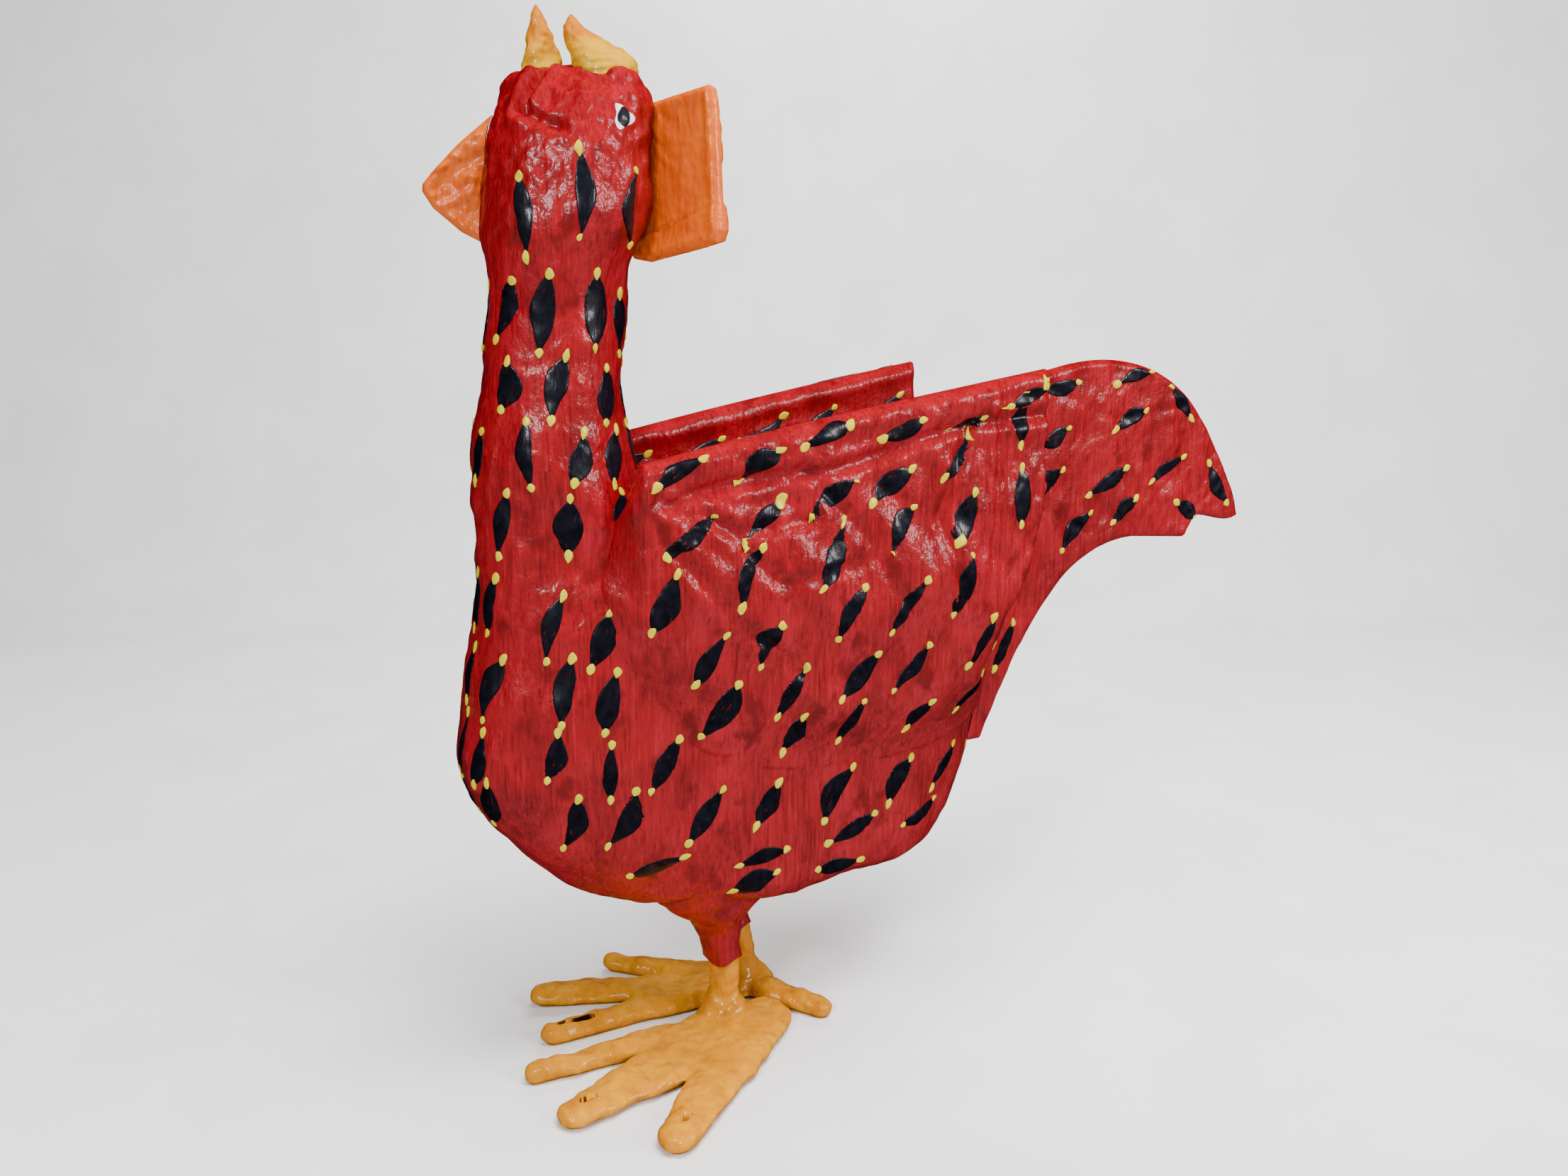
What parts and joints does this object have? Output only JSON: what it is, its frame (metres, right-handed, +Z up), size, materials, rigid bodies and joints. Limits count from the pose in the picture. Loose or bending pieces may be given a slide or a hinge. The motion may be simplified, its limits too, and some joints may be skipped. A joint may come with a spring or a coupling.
{
  "type": "alebrije figure",
  "caption": "Varnished papier-mache alebrije: a horned, eared bird with a tall neck, raised wings, a fin tail and splayed wire-toed feet.",
  "frame": {"origin": "centre of the figure's bounding box, on the floor that the feet stand on", "axes": "+Z up, -Y is where the chest faces, +X is the figure's own left"},
  "size_m": [0.057, 0.154, 0.159],
  "materials": {
    "red_paint": "glossy varnish over red brushed paint on pasted paper",
    "orange_paint": "glossy varnish over orange paint on pasted paper",
    "horn_paint": "glossy varnish over yellow ochre paint on pasted paper",
    "foot_paint": "thick glossy yellow-orange paint on pasted paper",
    "card": "bare brown card",
    "newsprint": "crumpled newspaper, loosely packed",
    "wire": "soft annealed wire",
    "tape": "masking tape"
  },
  "bodies": {
    "root": {"neck_tube": "card", "neck_packing": "newsprint", "neck_tape": "tape", "head_sleeve": "card", "head_packing": "newsprint", "body_carton": "card", "body_packing": "newsprint", "leg_wire_left": "wire", "leg_wire_right": "wire", "leg_tape": "tape", "toe_wires_left": "wire", "toe_wires_right": "wire", "tail_card": "card", "wing_card_left": "card", "wing_card_right": "card", "ear_card_left": "card", "ear_card_right": "card", "horn_cone_left": "card", "horn_cone_right": "card", "head_skin": "red_paint", "neck_skin": "red_paint", "body_skin": "red_paint", "back_skin": "red_paint", "tail_skin": "red_paint", "wing_skin_left": "red_paint", "wing_skin_right": "red_paint", "ear_skin_left": "orange_paint", "ear_skin_right": "orange_paint", "horn_skin_left": "horn_paint", "horn_skin_right": "horn_paint", "thigh_wrap_left": "red_paint", "thigh_wrap_right": "red_paint", "shank_wrap_left": "foot_paint", "shank_wrap_right": "foot_paint", "foot_skin_left": "foot_paint", "foot_skin_right": "foot_paint"}
  },
  "joints": []
}
